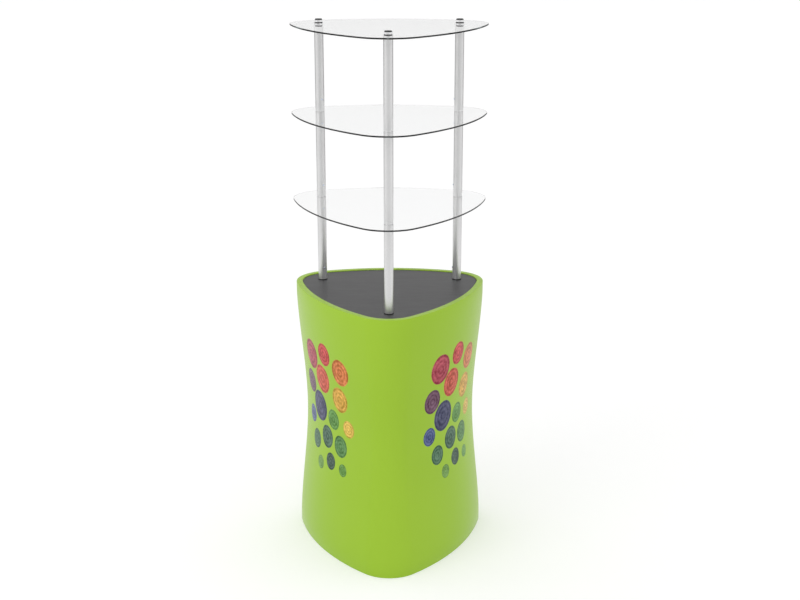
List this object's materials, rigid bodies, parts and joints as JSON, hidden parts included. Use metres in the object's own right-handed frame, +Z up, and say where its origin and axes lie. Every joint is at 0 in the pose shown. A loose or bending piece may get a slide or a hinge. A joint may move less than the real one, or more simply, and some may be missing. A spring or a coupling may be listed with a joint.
{
  "type": "triangular display tower",
  "caption": "Three-cornered display tower: waisted fabric base on a tube frame, black counter board, and three clear shelves on corner poles with screw caps.",
  "frame": {"origin": "on the tower's vertical axis, at the floor", "axes": "+Z up, the front corner points along -Y, +X to the right seen from the front"},
  "size_m": [0.653, 0.6315, 1.788],
  "materials": {
    "stretch_fabric": "matt stretch knit, printed",
    "black_laminate": "matt black laminate on board",
    "ring_aluminium": "mill finish rectangular tube",
    "pole_aluminium": "satin anodised tube",
    "spigot_aluminium": "mill finish tube",
    "plate_steel": "zinc plated",
    "button_steel": "plated",
    "spring_steel": "blued spring strip",
    "cap_metal": "polished",
    "cap_plastic": "gloss black",
    "plug_plastic": "moulded, brass threaded",
    "black_rubber": "matt",
    "clear_acrylic": "clear, polished edges",
    "zip_nylon": "woven tape and coil, dyed to match",
    "zip_metal": "die cast, satin"
  },
  "bodies": {
    "tower": {"fabric_cover": "stretch_fabric", "zip_chain": "zip_nylon", "counter_board": "black_laminate", "bottom_ring_front": "ring_aluminium", "bottom_ring_right": "ring_aluminium", "bottom_ring_left": "ring_aluminium", "bottom_ring_spigots": "ring_aluminium", "bottom_gussets": "plate_steel", "top_ring_front": "ring_aluminium", "top_ring_right": "ring_aluminium", "top_ring_left": "ring_aluminium", "top_ring_spigots": "ring_aluminium", "top_gussets": "plate_steel", "gusset_screws": "plate_steel", "upright_bolts": "plate_steel", "upright_front": "pole_aluminium", "lower_pole_front": "pole_aluminium", "middle_pole_front": "pole_aluminium", "upper_pole_front": "pole_aluminium", "button_springs_front": "spring_steel", "upright_right": "pole_aluminium", "lower_pole_right": "pole_aluminium", "middle_pole_right": "pole_aluminium", "upper_pole_right": "pole_aluminium", "button_springs_right": "spring_steel", "upright_left": "pole_aluminium", "lower_pole_left": "pole_aluminium", "middle_pole_left": "pole_aluminium", "upper_pole_left": "pole_aluminium", "button_springs_left": "spring_steel", "lower_spigots": "spigot_aluminium", "lower_shelf": "clear_acrylic", "middle_spigots": "spigot_aluminium", "middle_shelf": "clear_acrylic", "upper_spigots": "spigot_aluminium", "upper_shelf": "clear_acrylic", "upright_plugs": "plug_plastic", "pole_top_plugs": "plug_plastic", "pole_foot_rings": "black_rubber"},
    "lower_button_front": {"lower_button_front": "button_steel"},
    "middle_button_front": {"middle_button_front": "button_steel"},
    "upper_button_front": {"upper_button_front": "button_steel"},
    "cap_washer_front": {"cap_washer_front": "black_rubber"},
    "screw_cap_front": {"cap_collar_front": "cap_metal", "cap_top_front": "cap_plastic"},
    "lower_button_right": {"lower_button_right": "button_steel"},
    "middle_button_right": {"middle_button_right": "button_steel"},
    "upper_button_right": {"upper_button_right": "button_steel"},
    "cap_washer_right": {"cap_washer_right": "black_rubber"},
    "screw_cap_right": {"cap_collar_right": "cap_metal", "cap_top_right": "cap_plastic"},
    "lower_button_left": {"lower_button_left": "button_steel"},
    "middle_button_left": {"middle_button_left": "button_steel"},
    "upper_button_left": {"upper_button_left": "button_steel"},
    "cap_washer_left": {"cap_washer_left": "black_rubber"},
    "screw_cap_left": {"cap_collar_left": "cap_metal", "cap_top_left": "cap_plastic"},
    "zip_slider": {"zip_slider": "zip_metal"},
    "zip_pull": {"zip_pull": "zip_metal"}
  },
  "joints": [
    {"name": "lower_button_front_press", "type": "slide", "parent": "tower", "child": "lower_button_front", "axis": [-0.5, -0.866, 0], "range_m": [0, 0.0036], "stiffness_N_per_m": 2000, "springref_m": -0.003, "deforming": ["button_springs_front"]},
    {"name": "middle_button_front_press", "type": "slide", "parent": "tower", "child": "middle_button_front", "axis": [-0.5, -0.866, 0], "range_m": [0, 0.0036], "stiffness_N_per_m": 2000, "springref_m": -0.003, "deforming": ["button_springs_front"]},
    {"name": "upper_button_front_press", "type": "slide", "parent": "tower", "child": "upper_button_front", "axis": [-0.5, -0.866, 0], "range_m": [0, 0.0036], "stiffness_N_per_m": 2000, "springref_m": -0.003, "deforming": ["button_springs_front"]},
    {"name": "cap_lift_front", "type": "slide", "parent": "tower", "child": "cap_washer_front", "axis": [0, 0, 1], "range_m": [0, 0.0125]},
    {"name": "cap_turn_front", "type": "hinge", "parent": "cap_washer_front", "child": "screw_cap_front", "pos_m": [0, -0.2685, 1.775], "axis": [0, 0, 1], "range_deg": [0, 3600.5]},
    {"name": "lower_button_right_press", "type": "slide", "parent": "tower", "child": "lower_button_right", "axis": [1, 0, 0], "range_m": [0, 0.0036], "stiffness_N_per_m": 2000, "springref_m": -0.003, "deforming": ["button_springs_right"]},
    {"name": "middle_button_right_press", "type": "slide", "parent": "tower", "child": "middle_button_right", "axis": [1, 0, 0], "range_m": [0, 0.0036], "stiffness_N_per_m": 2000, "springref_m": -0.003, "deforming": ["button_springs_right"]},
    {"name": "upper_button_right_press", "type": "slide", "parent": "tower", "child": "upper_button_right", "axis": [1, 0, 0], "range_m": [0, 0.0036], "stiffness_N_per_m": 2000, "springref_m": -0.003, "deforming": ["button_springs_right"]},
    {"name": "cap_lift_right", "type": "slide", "parent": "tower", "child": "cap_washer_right", "axis": [0, 0, 1], "range_m": [0, 0.0125]},
    {"name": "cap_turn_right", "type": "hinge", "parent": "cap_washer_right", "child": "screw_cap_right", "pos_m": [0.23253, 0.13425, 1.775], "axis": [0, 0, 1], "range_deg": [0, 3600.5]},
    {"name": "lower_button_left_press", "type": "slide", "parent": "tower", "child": "lower_button_left", "axis": [-0.5, 0.866, 0], "range_m": [0, 0.0036], "stiffness_N_per_m": 2000, "springref_m": -0.003, "deforming": ["button_springs_left"]},
    {"name": "middle_button_left_press", "type": "slide", "parent": "tower", "child": "middle_button_left", "axis": [-0.5, 0.866, 0], "range_m": [0, 0.0036], "stiffness_N_per_m": 2000, "springref_m": -0.003, "deforming": ["button_springs_left"]},
    {"name": "upper_button_left_press", "type": "slide", "parent": "tower", "child": "upper_button_left", "axis": [-0.5, 0.866, 0], "range_m": [0, 0.0036], "stiffness_N_per_m": 2000, "springref_m": -0.003, "deforming": ["button_springs_left"]},
    {"name": "cap_lift_left", "type": "slide", "parent": "tower", "child": "cap_washer_left", "axis": [0, 0, 1], "range_m": [0, 0.0125]},
    {"name": "cap_turn_left", "type": "hinge", "parent": "cap_washer_left", "child": "screw_cap_left", "pos_m": [-0.23253, 0.13425, 1.775], "axis": [0, 0, 1], "range_deg": [0, 3600.5]},
    {"name": "zip_travel", "type": "hinge", "parent": "tower", "child": "zip_slider", "pos_m": [0, -0.471, 0.0552], "axis": [0, 0, 1], "range_deg": [-30.4, 0]},
    {"name": "zip_pull_swing", "type": "hinge", "parent": "zip_slider", "child": "zip_pull", "pos_m": [-0.19567, 0.24919, 0.0552], "axis": [0, 0, 1], "range_deg": [0, 178]}
  ],
  "couplings": [
    {"joint": "cap_turn_front", "follows": "cap_lift_front", "rad_per_m": 5026.5},
    {"joint": "cap_turn_right", "follows": "cap_lift_right", "rad_per_m": 5026.5},
    {"joint": "cap_turn_left", "follows": "cap_lift_left", "rad_per_m": 5026.5}
  ]
}
